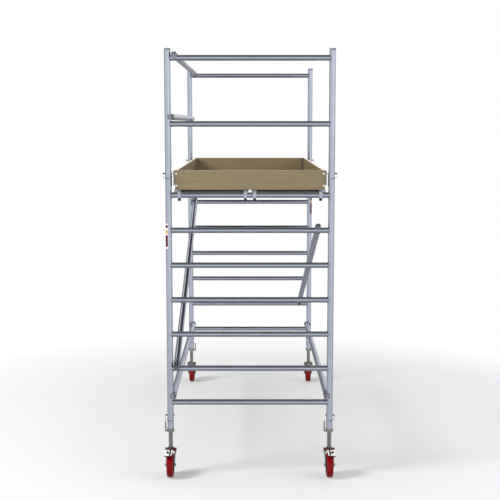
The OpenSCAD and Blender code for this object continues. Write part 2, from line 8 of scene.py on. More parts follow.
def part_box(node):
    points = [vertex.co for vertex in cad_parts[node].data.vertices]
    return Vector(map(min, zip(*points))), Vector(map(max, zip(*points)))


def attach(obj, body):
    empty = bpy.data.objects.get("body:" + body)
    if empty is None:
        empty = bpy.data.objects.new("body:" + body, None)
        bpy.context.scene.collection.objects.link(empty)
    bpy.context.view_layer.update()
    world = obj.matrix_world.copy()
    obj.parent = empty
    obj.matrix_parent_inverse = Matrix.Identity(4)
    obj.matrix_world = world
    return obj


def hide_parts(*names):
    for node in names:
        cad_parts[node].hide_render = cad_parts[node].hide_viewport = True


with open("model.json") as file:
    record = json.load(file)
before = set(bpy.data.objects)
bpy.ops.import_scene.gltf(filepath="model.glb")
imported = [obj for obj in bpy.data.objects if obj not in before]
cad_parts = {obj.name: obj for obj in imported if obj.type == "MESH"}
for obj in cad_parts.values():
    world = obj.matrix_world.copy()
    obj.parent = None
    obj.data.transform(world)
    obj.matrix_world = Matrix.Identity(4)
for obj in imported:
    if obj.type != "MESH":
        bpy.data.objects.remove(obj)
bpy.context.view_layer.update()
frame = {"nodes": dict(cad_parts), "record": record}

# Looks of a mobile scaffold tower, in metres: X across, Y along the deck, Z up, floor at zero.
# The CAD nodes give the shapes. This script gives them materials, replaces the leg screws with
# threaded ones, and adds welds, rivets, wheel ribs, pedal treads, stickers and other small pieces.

# ---------------------------------------------------------------- sizes

MM = 0.001
CORNERS = ("front_left", "front_right", "rear_left", "rear_right")
SIDE = {"left": -1, "right": 1, "front": -1, "rear": 1}

FRAME_LOW, FRAME_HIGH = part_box("rear_frame")
POST_R = (FRAME_HIGH.y - FRAME_LOW.y) / 2
POST_X = FRAME_HIGH.x - POST_R
FRAME_Y = (FRAME_HIGH.y + FRAME_LOW.y) / 2
RUNG_R = 22.5 * MM
RUNG_Z = [(610 + 282 * i) * MM for i in range(7)]
RAIL_Z = [2866 * MM, 3381 * MM]
POST_JOINT_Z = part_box("rear_guardrail_frame")[0].z
LEG_JOINT_Z = FRAME_LOW.z
POST_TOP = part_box("rear_guardrail_frame")[1].z
STRAP_Z = (2373 * MM, 2466 * MM)
STRAP_RIVET_Z = (2385 * MM, 2450 * MM)
PIN_R = 5 * MM
CLIP_X = POST_X + 39.6 * MM
PIN_LEVELS = [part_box(f"{level}_pin_rear_left")[1].z - PIN_R for level in ("lower", "upper")]

BRACE_R = POST_R
BRACE_OFF = 22 * MM
BAY = 2 * FRAME_Y
DIAGONAL_RISE = RUNG_Z[4] - RUNG_Z[0]
DIAGONAL_L = hypot(BAY, DIAGONAL_RISE)
DIAGONAL_TILT = atan2(DIAGONAL_RISE, BAY)
LEFT_BRACE_X = POST_X - 54 * MM
RIGHT_BRACE_X = POST_X - 105 * MM
CLAW_WALL = 7 * MM
# Place on a claw and radius of each rivet or pivot head, in millimetres
CLAW_HEADS = ((38, -9, 18, 5.5), (31, -13, 18, 2.6), (66, 22, 25, 4.2), (84, 22, 25, 4.2))

DECK_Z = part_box("deck_panels")[1].z
DECK_T = DECK_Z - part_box("deck_panels")[0].z
PANEL_END_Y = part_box("deck_panels")[1].y
BEAM_X = (37 * MM, 563 * MM)
BEAM_W = 30 * MM
BEAM_END_Y = FRAME_Y - 47 * MM
TOE_T = 20 * MM
TOE_SIDE_X = 588 * MM
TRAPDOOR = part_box("trapdoor")
HINGE_X = 540.5 * MM
HINGE_Y = (-1040 * MM, -700 * MM)
DECK_RIVETS = 16
DECK_RIVET_IN = 45 * MM

WHEEL_LOW, WHEEL_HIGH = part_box("castor_wheel_rear_right")
WHEEL_R = (WHEEL_HIGH.z - WHEEL_LOW.z) / 2
WHEEL_W = 54 * MM
AXLE_Y = (WHEEL_HIGH.y + WHEEL_LOW.y) / 2 - FRAME_Y
WEB_HALF = 15 * MM
HUB_R = 26 * MM
RIM_IN_R = 72 * MM
TYRE_IN_R = 84 * MM

SCREW_R = 17.6 * MM
SCREW_BORE_R = 13.5 * MM
SCREW_BOTTOM_Z = 226 * MM
BORE_LOW_Z = 246 * MM
SCREW_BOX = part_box("leg_screw_rear_right")
THREAD_LOW_Z = 234 * MM
THREAD_PITCH = 8 * MM
THREAD_DEPTH = 1.6 * MM
SLOT_Z = (385 * MM, 657 * MM)
SLOT_W = 12 * MM


def post_place(corner):
    """Moves a shape drawn about the Z axis to the post at a corner."""
    end, side = corner.split("_")
    return Matrix.Translation((SIDE[side] * POST_X, SIDE[end] * FRAME_Y, 0))


def corner_place(corner):
    """Moves a shape drawn at a rear leg, wheel towards +Y, to a corner."""
    end = corner.split("_")[0]
    return post_place(corner) @ Matrix.Diagonal((1, SIDE[end], 1, 1))


# ---------------------------------------------------------------- materials

def srgb(red, green, blue):
    """Scene-linear colour from a screen colour given as 0 to 255."""
    parts = [value / 255 for value in (red, green, blue)]
    return [p / 12.92 if p <= 0.04045 else ((p + 0.055) / 1.055) ** 2.4 for p in parts] + [1.0]


class Shader:
    """One procedural material. Values given to a node's inputs are set, and sockets are linked."""

    def __init__(self, name):
        self.material = bpy.data.materials.new(name)
        self.material.use_nodes = True
        self.tree = self.material.node_tree
        self.surface = self.tree.nodes["Principled BSDF"]
        self.place = self.add("ShaderNodeTexCoord").outputs["Object"]
        self.x, self.y, self.z = self.add("ShaderNodeSeparateXYZ", {0: self.place}).outputs

    def feed(self, socket, value):
        if isinstance(value, bpy.types.NodeSocket):
            self.tree.links.new(value, socket)
        else:
            socket.default_value = value

    def add(self, kind, inputs=None, **settings):
        node = self.tree.nodes.new(kind)
        for name, value in settings.items():
            setattr(node, name, value)
        for key, value in (inputs or {}).items():
            self.feed(node.inputs[key], value)
        return node

    def math(self, operation, first, second=0.0):
        return self.add("ShaderNodeMath", {0: first, 1: second}, operation=operation).outputs[0]

    def spread(self, value, low, high, out_low=0.0, out_high=1.0):
        """Maps low..high onto out_low..out_high and stops there."""
        inputs = {0: value, 1: low, 2: high, 3: out_low, 4: out_high}
        return self.add("ShaderNodeMapRange", inputs).outputs[0]

    def mix(self, share, first, second):
        node = self.add("ShaderNodeMix", {0: share, 6: first, 7: second}, data_type="RGBA")
        return node.outputs[2]

    def stretched(self, scale):
        """Coordinates scaled per axis, so a small number makes streaks along that axis."""
        return self.add("ShaderNodeVectorMath", {0: self.place, 1: scale}, operation="MULTIPLY").outputs[0]

    def noise(self, scale, vector=None, detail=3.0, rough=0.55, distortion=0.0):
        inputs = {"Vector": vector or self.place, "Scale": scale, "Detail": detail,
                  "Roughness": rough, "Distortion": distortion}
        return self.add("ShaderNodeTexNoise", inputs).outputs[0]

    def cells(self, scale):
        return self.add("ShaderNodeTexVoronoi", {"Vector": self.place, "Scale": scale})

    def facing(self):
        """The surface's direction, as its x, y and z."""
        normal = self.add("ShaderNodeNewGeometry").outputs["Normal"]
        return self.add("ShaderNodeSeparateXYZ", {0: normal}).outputs

    def bump(self, height, depth, strength=1.0, normal=None):
        inputs = {"Height": height, "Distance": depth, "Strength": strength}
        if normal:
            inputs["Normal"] = normal
        return self.add("ShaderNodeBump", inputs).outputs[0]

    def round_edges(self, radius):
        return self.add("ShaderNodeBevel", {"Radius": radius}, samples=4).outputs[0]

    def worn_edges(self, radius, rounded):
        """Share of bare edge: where the rounded normal leaves the flat one."""
        flat = self.add("ShaderNodeNewGeometry").outputs["Normal"]
        agree = self.add("ShaderNodeVectorMath", {0: rounded, 1: flat}, operation="DOT_PRODUCT").outputs[1]
        patchy = self.noise(0.35 / radius, detail=4)
        edge = self.spread(self.math("SUBTRACT", 1.0, agree), 0.02, 0.16)
        return self.math("MULTIPLY", edge, self.spread(patchy, 0.42, 0.6))

    def look(self, **values):
        for name, value in values.items():
            self.feed(self.surface.inputs[name.replace("_", " ")], value)
        return self.material


def tube_metal(name, stretch_of, tone, dark):
    """Extruded aluminium tube: drawn lines along it, handling marks, faint scratches."""
    s = Shader(name)
    along = stretch_of(s)
    lines = s.noise(1.0, along, detail=5, rough=0.7)
    marks = s.noise(7.0, detail=6, rough=0.62)
    smears = s.noise(1.6, detail=3)
    scratch_cells = s.noise(3.0, along, detail=2, distortion=2.5)
    scratches = s.spread(s.math("ABSOLUTE", s.math("SUBTRACT", scratch_cells, 0.5)), 0.0, 0.006, 1.0, 0.0)
    colour = s.mix(s.spread(marks, 0.35, 0.75), tone, dark)
    colour = s.mix(s.math("MULTIPLY", scratches, 0.25), colour, [0.9, 0.91, 0.93, 1])
    rough = s.math("ADD", s.spread(lines, 0.3, 0.7, 0.21, 0.30), s.spread(smears, 0.4, 0.7, 0.0, 0.10))
    normal = s.bump(lines, 0.05 * MM, 0.35)
    return s.look(Base_Color=colour, Metallic=1.0, Roughness=rough, Normal=normal)


def frame_stretch(s):
    """Lines run up the posts and across the rungs."""
    on_post = s.math("GREATER_THAN", s.math("ABSOLUTE", s.x), POST_X - POST_R)
    up = s.stretched((420, 420, 3))
    across = s.stretched((3, 420, 420))
    node = s.add("ShaderNodeMix", {0: on_post, 4: across, 5: up}, data_type="VECTOR")
    return node.outputs[1]


def brace_stretch(s):
    """Lines run along the level braces, and along the sloping ones on either side."""
    sloping = s.math("MULTIPLY", s.math("LESS_THAN", s.math("ABSOLUTE", s.x), POST_X - 30 * MM),
                     s.math("LESS_THAN", s.z, RAIL_Z[0]))
    angle = s.math("MULTIPLY", s.math("MULTIPLY", s.math("SIGN", s.x), sloping), DIAGONAL_TILT)
    turn = s.add("ShaderNodeVectorRotate", {"Vector": s.place, "Angle": angle}, rotation_type="X_AXIS")
    scaled = s.add("ShaderNodeVectorMath", {0: turn.outputs[0], 1: (420, 3, 420)}, operation="MULTIPLY")
    return scaled.outputs[0]


def beam_stretch(s):
    return s.stretched((300, 2, 300))


def cast_metal(name, tone, dark):
    """Die-cast aluminium: fine grain, soft edges rubbed bright."""
    s = Shader(name)
    rounded = s.round_edges(1.2 * MM)
    edge = s.worn_edges(1.2 * MM, rounded)
    grain = s.noise(1400, detail=2)
    blotches = s.noise(60, detail=4)
    colour = s.mix(s.spread(blotches, 0.35, 0.7), tone, dark)
    colour = s.mix(edge, colour, [0.85, 0.86, 0.88, 1])
    rough = s.spread(blotches, 0.3, 0.7, 0.38, 0.52)
    normal = s.bump(grain, 0.12 * MM, 0.5, rounded)
    return s.look(Base_Color=colour, Metallic=0.95, Roughness=rough, Normal=normal)


def zinc_metal(name, tone, dark, clip_highlight=None):
    """Zinc-plated steel: small crystals, a dull film in patches, bright rubbed edges.
    The last tone, if given, paints the free wire pale where it stands outside the posts and clear of the
    pins: a painted highlight on the same zinc."""
    s = Shader(name)
    if clip_highlight:
        # Painted highlight: the free wire outside the post, away from the pins, takes the pale tone.
        outside = s.math("GREATER_THAN", s.math("ABSOLUTE", s.x), CLIP_X)
        for level in PIN_LEVELS:
            away = s.math("GREATER_THAN", s.math("ABSOLUTE", s.math("SUBTRACT", s.z, level)), 7 * MM)
            outside = s.math("MULTIPLY", outside, away)
        tone = s.mix(outside, tone, clip_highlight)
    rounded = s.round_edges(0.8 * MM)
    edge = s.worn_edges(0.8 * MM, rounded)
    crystals = s.cells(220).outputs["Color"]
    shade = s.add("ShaderNodeSeparateXYZ", {0: crystals}).outputs[0]
    film = s.noise(26, detail=6, rough=0.6)
    colour = s.mix(s.math("MULTIPLY", shade, 0.35), tone, dark)
    colour = s.mix(s.spread(film, 0.5, 0.8, 0.0, 0.6), colour, dark)
    colour = s.mix(edge, colour, [0.8, 0.8, 0.78, 1])
    rough = s.math("ADD", s.spread(film, 0.35, 0.75, 0.24, 0.42), s.math("MULTIPLY", shade, 0.06))
    normal = s.bump(film, 0.05 * MM, 0.3, rounded)
    return s.look(Base_Color=colour, Metallic=1.0, Roughness=rough, Normal=normal)


def painted(name, tone, dark, bare, coat):
    """Powder coat with a fine orange peel, rubbed through to metal on some edges."""
    s = Shader(name)
    rounded = s.round_edges(0.9 * MM)
    edge = s.worn_edges(0.9 * MM, rounded)
    peel = s.noise(900, detail=1)
    blotches = s.noise(45, detail=4)
    colour = s.mix(s.spread(blotches, 0.35, 0.75), tone, dark)
    colour = s.mix(edge, colour, bare)
    rough = s.spread(blotches, 0.3, 0.7, 0.32, 0.46)
    normal = s.bump(peel, 0.04 * MM, 0.4, rounded)
    return s.look(Base_Color=colour, Roughness=rough, Normal=normal, Metallic=s.math("MULTIPLY", edge, 0.9),
                  Specular_IOR_Level=0.25, Coat_Weight=coat, Coat_Roughness=0.2)


def moulded(name, tone, dark, grain_depth):
    """Moulded plastic or rubber with a spark-eroded grain and grey handling marks."""
    s = Shader(name)
    rounded = s.round_edges(0.6 * MM)
    grain = s.cells(1500).outputs["Distance"]
    dust = s.noise(30, detail=5, rough=0.65)
    colour = s.mix(s.spread(dust, 0.45, 0.75), tone, dark)
    rough = s.spread(dust, 0.3, 0.7, 0.45, 0.62)
    return s.look(Base_Color=colour, Roughness=rough, Normal=s.bump(grain, grain_depth, 0.5, rounded))


def wheel_nylon(name, tone, dark, scuff, core):
    """Red tyre on a black centre: satin sides, and a tread scuffed pale where it rolls."""
    s = Shader(name)
    rounded = s.round_edges(1.0 * MM)
    sideways = s.math("ABSOLUTE", s.facing()[0])
    tread = s.math("MULTIPLY", s.spread(sideways, 0.25, 0.0), s.math("LESS_THAN", s.z, 2 * WHEEL_R))
    scuffs = s.noise(240, s.stretched((1, 0.35, 0.35)), detail=5, rough=0.7)
    cloud = s.noise(35, detail=4)
    colour = s.mix(s.spread(cloud, 0.35, 0.75), tone, dark)
    worn = s.math("MULTIPLY", tread, s.spread(scuffs, 0.52, 0.76, 0.0, 0.22))
    colour = s.mix(worn, colour, scuff)
    ahead = s.math("SUBTRACT", s.math("ABSOLUTE", s.y), FRAME_Y + AXLE_Y)
    above = s.math("SUBTRACT", s.z, WHEEL_R)
    reach = s.math("SQRT", s.math("ADD", s.math("MULTIPLY", ahead, ahead), s.math("MULTIPLY", above, above)))
    colour = s.mix(s.math("LESS_THAN", reach, TYRE_IN_R), colour, core)
    rough = s.math("ADD", s.spread(cloud, 0.3, 0.7, 0.27, 0.38), s.math("MULTIPLY", worn, 0.6))
    normal = s.bump(scuffs, 0.1 * MM, 0.25, rounded)
    return s.look(Base_Color=colour, Roughness=rough, Normal=normal, Specular_IOR_Level=0.2)


def toe_plywood(name):
    """Varnished plywood: grain along each board, plies in the edges that face up or down, and those edges
    painted near white as a painted highlight.
    """
    s = Shader(name)
    rounded = s.round_edges(1.5 * MM)
    on_end = s.math("GREATER_THAN", s.math("ABSOLUTE", s.y), FRAME_Y - TOE_T)
    grain_x = s.stretched((2.2, 46, 46))
    grain_y = s.stretched((46, 2.2, 46))
    grain = s.add("ShaderNodeMix", {0: on_end, 4: grain_y, 5: grain_x}, data_type="VECTOR").outputs[1]
    figure = s.noise(1.0, grain, detail=6, rough=0.62, distortion=0.5)
    fine = s.noise(9.0, grain, detail=4, rough=0.7)
    mottle = s.noise(5.0, s.stretched((1, 1, 0.35)), detail=3)
    face = s.mix(s.spread(figure, 0.3, 0.72), srgb(129, 115, 83), srgb(117, 102, 72))
    face = s.mix(s.spread(mottle, 0.45, 0.75, 0.0, 0.35), face, srgb(127, 105, 79))
    face = s.mix(s.spread(fine, 0.56, 0.74, 0.0, 0.35), face, srgb(100, 86, 59))
    depth_x = s.math("SUBTRACT", s.math("ABSOLUTE", s.x), TOE_SIDE_X)
    depth_y = s.math("SUBTRACT", s.math("ABSOLUTE", s.y), FRAME_Y)
    depth = s.add("ShaderNodeMix", {0: on_end, 2: depth_x, 3: depth_y}, data_type="FLOAT").outputs[0]
    plies = s.math("SINE", s.math("MULTIPLY", depth, tau * 3.5 / TOE_T))
    # Edges facing up or down: paler plies, pushed near white as a painted highlight of the light from above.
    cut = s.mix(s.spread(plies, -0.3, 0.3), srgb(252, 243, 230), srgb(238, 222, 200))
    cut = s.mix(s.spread(fine, 0.5, 0.8, 0.0, 0.2), cut, srgb(196, 170, 134))
    cut_edge_highlight = s.spread(s.math("ABSOLUTE", s.facing()[2]), 0.5, 0.6)
    colour = s.mix(cut_edge_highlight, face, cut)
    rough = s.spread(figure, 0.3, 0.7, 0.36, 0.5)
    height = s.math("ADD", figure, s.math("MULTIPLY", fine, 0.5))
    return s.look(Base_Color=colour, Roughness=rough, Normal=s.bump(height, 0.15 * MM, 0.35, rounded),
                  Coat_Weight=0.12, Coat_Roughness=0.3)


def deck_plywood(name):
    """Film-faced plywood: a pressed mesh on the dark top, smooth film under it, and near-black edges: a dark
    edge seal, darkened to near black as painted shade.
    """
    s = Shader(name)
    on_top = s.math("GREATER_THAN", s.z, DECK_Z - 0.3 * MM)
    wires = []
    for slope in (1, -1):
        across = s.math("ADD", s.math("MULTIPLY", s.x, slope * 0.866), s.math("MULTIPLY", s.y, 0.5))
        wires.append(s.math("ABSOLUTE", s.math("SINE", s.math("MULTIPLY", across, pi / (3.2 * MM)))))
    mesh = s.spread(s.math("MINIMUM", *wires), 0.0, 0.35)
    scuffs = s.noise(9, detail=7, rough=0.65)
    traffic = s.noise(2.2, detail=3)
    film = s.mix(s.spread(scuffs, 0.42, 0.75), srgb(74, 48, 33), srgb(104, 80, 62))
    film = s.mix(s.spread(traffic, 0.45, 0.8, 0.0, 0.5), film, srgb(122, 104, 86))
    depth = s.math("SUBTRACT", s.z, DECK_Z)
    plies = s.math("SINE", s.math("MULTIPLY", depth, tau * 4.5 / DECK_T))
    # Near-black edges: partly the dark edge seal, partly painted shade on the panel ends under the toe
    # boards.
    cut = s.mix(s.spread(plies, -0.3, 0.3), srgb(20, 14, 11), srgb(12, 8, 7))
    low = s.math("LESS_THAN", s.z, DECK_Z - DECK_T + 0.3 * MM)
    is_film = s.math("MAXIMUM", on_top, low)
    colour = s.mix(is_film, cut, film)
    rough = s.spread(scuffs, 0.3, 0.75, 0.42, 0.62)
    normal = s.bump(s.math("MULTIPLY", mesh, on_top), 0.35 * MM, 0.6)
    return s.look(Base_Color=colour, Roughness=rough, Normal=normal)


def sticker_film(name, tone, faded):
    """Printed vinyl with a plain colour and a little fading."""
    s = Shader(name)
    fade = s.noise(60, detail=4)
    colour = s.mix(s.spread(fade, 0.4, 0.75), tone, faded)
    return s.look(Base_Color=colour, Roughness=s.spread(fade, 0.3, 0.7, 0.4, 0.52), Specular_IOR_Level=0.1)


MATERIALS = {
    "aluminium_tube": tube_metal("aluminium_tube", frame_stretch, srgb(192, 198, 213), srgb(178, 185, 202)),
    "brace_tube": tube_metal("brace_tube", brace_stretch, srgb(192, 198, 213), srgb(178, 185, 202)),
    "aluminium_beam": tube_metal("aluminium_beam", beam_stretch, srgb(184, 188, 197), srgb(168, 173, 183)),
    "weld": cast_metal("weld", srgb(178, 182, 190), srgb(146, 150, 160)),
    "cast_aluminium": cast_metal("cast_aluminium", srgb(164, 168, 178), srgb(138, 142, 154)),
    "hook_alloy": cast_metal("hook_alloy", srgb(196, 202, 214), srgb(178, 184, 198)),
    "bracket_bronze": cast_metal("bracket_bronze", srgb(160, 153, 142), srgb(132, 126, 116)),
    "zinc_steel": zinc_metal("zinc_steel", srgb(164, 163, 160), srgb(122, 122, 120)),
    # Pins in dark zinc; the pale last tone is a painted highlight on the free wire outside the posts.
    "pin_zinc": zinc_metal("pin_zinc", srgb(112, 114, 120), srgb(88, 90, 95), srgb(214, 214, 210)),
    # Toe-board bolt heads: the near-white colour is a painted highlight standing in for the glint on zinc
    # heads.
    "bolt_glint": painted("bolt_glint", srgb(240, 234, 222), srgb(226, 220, 206), srgb(214, 212, 208), 0.3),
    "white_nylon": moulded("white_nylon", srgb(238, 238, 236), srgb(214, 213, 208), 0.05 * MM),
    "red_wheel": wheel_nylon("red_wheel", srgb(128, 3, 10), srgb(100, 2, 7), srgb(132, 36, 36),
                             srgb(30, 14, 16)),
    "red_paint": painted("red_paint", srgb(92, 2, 7), srgb(76, 1, 5), srgb(150, 148, 146), 0.0),
    "black_steel": painted("black_steel", srgb(22, 22, 25), srgb(15, 15, 17), srgb(128, 130, 134), 0.0),
    "black_plastic": moulded("black_plastic", srgb(20, 21, 24), srgb(36, 37, 40), 0.08 * MM),
    "grey_cap": moulded("grey_cap", srgb(112, 117, 130), srgb(132, 136, 147), 0.08 * MM),
    "deck_plywood": deck_plywood("deck_plywood"),
    "toe_board_plywood": toe_plywood("toe_board_plywood"),
    "sticker_white": sticker_film("sticker_white", srgb(226, 226, 230), srgb(206, 206, 212)),
    "sticker_red": sticker_film("sticker_red", srgb(66, 1, 13), srgb(82, 6, 20)),
    "sticker_amber": sticker_film("sticker_amber", srgb(176, 146, 92), srgb(186, 160, 112)),
}


# ---------------------------------------------------------------- shapes

def merged(shapes):
    """One (vertices, faces) shape from many."""
    vertices, faces = [], []
    for points, polygons in shapes:
        base = len(vertices)
        vertices.extend(points)
        faces.extend([base + i for i in polygon] for polygon in polygons)
    return vertices, faces


def moved(shape, matrix):
    """The shape carried by a matrix, with its faces turned back if the matrix mirrors it."""
    points, polygons = shape
    points = [tuple(matrix @ Vector(p)) for p in points]
    if matrix.determinant() < 0:
        polygons = [list(reversed(p)) for p in polygons]
    return points, polygons


def grid(rows, closed_rows=False, capped=False):
    """Surface over rows of points. Each row is a closed ring, and the stack of rows may be one."""
    count, width = len(rows), len(rows[0])
    points = [tuple(p) for row in rows for p in row]
    faces = []
    for i in range(count if closed_rows else count - 1):
        for j in range(width):
            k, m = (i + 1) % count, (j + 1) % width
            faces.append([i * width + j, i * width + m, k * width + m, k * width + j])
    if capped:
        faces.append(list(reversed(range(width))))
        faces.append([(count - 1) * width + j for j in range(width)])
    return points, faces


def circle_row(radius, z, steps):
    """Ring of points about Z."""
    angles = [tau * j / steps for j in range(steps)]
    return [(radius * cos(a), radius * sin(a), z) for a in angles]


def lathe(profile, steps=48):
    """Solid of revolution about Z. The profile is (radius, z), going up the outside, and is capped."""
    return grid([circle_row(r, z, steps) for r, z in profile], capped=True)


def ring(inner, outer, low, high, chamfer=0.4 * MM, steps=64):
    """Flat ring about Z with small chamfers."""
    profile = [(inner, low + chamfer), (inner + chamfer, low),
               (outer - chamfer, low), (outer, low + chamfer),
               (outer, high - chamfer), (outer - chamfer, high),
               (inner + chamfer, high), (inner, high - chamfer)]
    return grid([circle_row(r, z, steps) for r, z in profile], closed_rows=True)


def dome(radius, height, steps=20, rings=5):
    """Rivet head standing on the XY plane."""
    profile = [(radius, 0)]
    profile += [(radius * cos(a), height * sin(a)) for a in [pi / 2 * i / rings for i in range(1, rings)]]
    profile.append((radius * 0.08, height))
    return lathe(profile, steps)


def extruded(outline, low, high):
    """Prism along Z from a counter-clockwise outline of (x, y)."""
    return grid([[(x, y, z) for x, y in outline] for z in (low, high)], capped=True)


def arc(centre, radius, start, end, steps=8):
    """Points along a circle, angles in degrees."""
    angles = [radians(start + (end - start) * i / steps) for i in range(steps + 1)]
    return [(centre[0] + radius * cos(a), centre[1] + radius * sin(a)) for a in angles]


def rounded_rectangle(width, height, radius, steps=6):
    x, y = width / 2 - radius, height / 2 - radius
    outline = []
    for centre, start in (((x, y), 0), ((-x, y), 90), ((-x, -y), 180), ((x, -y), 270)):
        outline += arc(centre, radius, start, start + 90, steps)
    return outline


def shell_patch(radius, thickness, angle_low, angle_high, low, high, steps=14):
    """Curved plate on a cylinder about Z, angles in degrees."""
    outline = arc((0, 0), radius + thickness, angle_low, angle_high, steps)
    outline += arc((0, 0), radius, angle_high, angle_low, steps)
    return extruded(outline, low, high)


def piece(name, shape, body, slot, material=None, bevel=0.0):
    """Makes a shape into an object that rides on a CAD body."""
    mesh = bpy.data.meshes.new(name)
    mesh.from_pydata(shape[0], [], shape[1])
    mesh.validate()
    mesh.materials.append(MATERIALS[material or slot])
    made = bpy.data.objects.new(name, mesh)
    bpy.context.scene.collection.objects.link(made)
    mesh.shade_smooth()
    mesh.set_sharp_from_angle(angle=radians(35))
    if bevel:
        edges = made.modifiers.new("edges", "BEVEL")
        edges.width = bevel
        edges.segments = 2
        edges.limit_method = "ANGLE"
    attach(made, body)
    return made


# ---------------------------------------------------------------- frames

def weld_bead(x, y, z, side):
    """Rippled bead where a rung meets the inside of a post."""
    around, section = 44, 8
    rows = []
    for i in range(around):
        t = tau * i / around
        reach = sqrt(POST_R ** 2 - (RUNG_R * cos(t)) ** 2)
        centre = Vector((reach, RUNG_R * cos(t), RUNG_R * sin(t)))
        rung_out = Vector((0, cos(t), sin(t)))
        post_out = Vector((reach, RUNG_R * cos(t), 0)).normalized()
        size = (2.7 + 0.5 * abs(sin(11 * t))) * MM
        row = []
        for j in range(section):
            a = tau * j / section
            point = centre + size * (cos(a) * rung_out + sin(a) * post_out)
            row.append((x - side * point.x, y + point.y, z + point.z))
        rows.append(row)
    points, faces = grid(rows, closed_rows=True)
    return (points, [list(reversed(f)) for f in faces]) if side < 0 else (points, faces)


def make_welds():
    for end in ("front", "rear"):
        y = SIDE[end] * FRAME_Y
        for name, heights in (("frame", RUNG_Z), ("guardrail_frame", RAIL_Z)):
            beads = [weld_bead(side * POST_X, y, z, side) for side in (-1, 1) for z in heights]
            piece(f"{end}_{name}_welds", merged(beads), "root", "aluminium_tube", "weld")


def make_post_details():
    """Grey seams where tubes meet end to end, skirts of the post caps, and black riveted straps on the inner
    side of the front posts, which paint the shade beside each post.
    """
    seams, straps, skirts = [], [], []
    for corner in CORNERS:
        end, side = corner.split("_")
        place = post_place(corner)
        for z in (POST_JOINT_Z, LEG_JOINT_Z):
            seam = ring(POST_R - 0.8 * MM, POST_R + 0.4 * MM, z - 2.6 * MM, z + 2.6 * MM)
            seams.append(moved(seam, place))
        skirt = ring(POST_R - 1 * MM, POST_R + 0.5 * MM, POST_TOP - 14 * MM, POST_TOP - 0.2 * MM)
        skirts.append(moved(skirt, place))
        inward = 180 if side == "right" else 0
        # Painted shade: a black strap on the inner side of each front post.
        if end == "front":
            strap = shell_patch(POST_R + 0.1 * MM, 3.2 * MM, inward - 24, inward + 24, *STRAP_Z)
            straps.append(moved(strap, place))
            for z in STRAP_RIVET_Z:
                turn = Matrix.Rotation(radians(inward), 4, "Z") @ Matrix.Translation((POST_R + 3 * MM, 0, z))
                straps.append(moved(dome(4 * MM, 1.8 * MM), place @ turn @ Matrix.Rotation(pi / 2, 4, "Y")))
    piece("post_seams", merged(seams), "root", "black_plastic", "grey_cap")
    piece("cap_skirts", merged(skirts), "root", "black_plastic", "grey_cap")
    piece("post_shade_straps", merged(straps), "root", "black_steel", bevel=0.5 * MM)


def make_stickers():
    """Plain coloured patches on two posts, with nothing printed on them."""
    front = post_place("front_left")
    rear = post_place("rear_right")
    on_post = POST_R + 0.05 * MM
    film = 0.2 * MM

    def front_patch(low, high):
        """Lies on the white base."""
        return moved(shell_patch(on_post + film, 0.15 * MM, 178, 256, low * MM, high * MM), front)

    def rear_patch(low, high):
        return moved(shell_patch(on_post, film, 285, 368, low * MM, high * MM), rear)

    base = shell_patch(on_post, film, 172, 262, 1876 * MM, 2074 * MM)
    piece("sticker_base", moved(base, front), "root", "aluminium_tube", "sticker_white")
    reds = [front_patch(1888, 1983), front_patch(2039, 2065), rear_patch(1893, 2006)]
    piece("sticker_reds", merged(reds), "root", "red_paint", "sticker_red")
    ambers = [front_patch(1991, 2026), rear_patch(2010, 2030)]
    piece("sticker_ambers", merged(ambers), "root", "red_paint", "sticker_amber")
    piece("sticker_black", rear_patch(2036, 2062), "root", "black_plastic")


# ---------------------------------------------------------------- braces

def brace_place(name):
    """Carries a brace drawn along +X from a gripped tube on Z, as the CAD does."""
    turn = {"post": Matrix.Rotation(pi / 2, 4, "Z") @ Matrix.Rotation(pi, 4, "X"),
            "rung": Matrix.Rotation(pi / 2, 4, "Z") @ Matrix.Rotation(pi / 2, 4, "X")}
    tilt = Matrix.Rotation(DIAGONAL_TILT, 4, "X")
    low, middle = RUNG_Z[0] + 52 * MM, RAIL_Z[0] + 55 * MM
    mirror = Matrix.Diagonal((-1, 1, 1, 1))

    def at(x, z):
        return Matrix.Translation((x, -FRAME_Y, z))

    return {
        "low_left": (at(-POST_X, low) @ turn["post"], BAY),
        "low_right": (mirror @ at(-POST_X, low) @ turn["post"], BAY),
        "diagonal_left": (at(-LEFT_BRACE_X, RUNG_Z[1]) @ tilt @ turn["rung"], DIAGONAL_L),
        "diagonal_right": (at(RIGHT_BRACE_X, RUNG_Z[5]) @ tilt.inverted() @ turn["rung"], DIAGONAL_L),
        "guard_mid": (at(-POST_X, middle) @ turn["post"], BAY),
        "guard_top": (at(-LEFT_BRACE_X, RAIL_Z[1]) @ turn["rung"], BAY),
    }[name]


BRACES = ("low_left", "low_right", "diagonal_left", "diagonal_right", "guard_mid", "guard_top")


def claw_places():
    """Place of each of the twelve claws, with the radius of the tube it grips."""
    for name in BRACES:
        start, length = brace_place(name)
        grip = RUNG_R if name in ("diagonal_left", "diagonal_right", "guard_top") else POST_R
        yield start, grip
        yield start @ Matrix.Translation((length, 0, 0)) @ Matrix.Diagonal((-1, 1, 1, 1)), grip


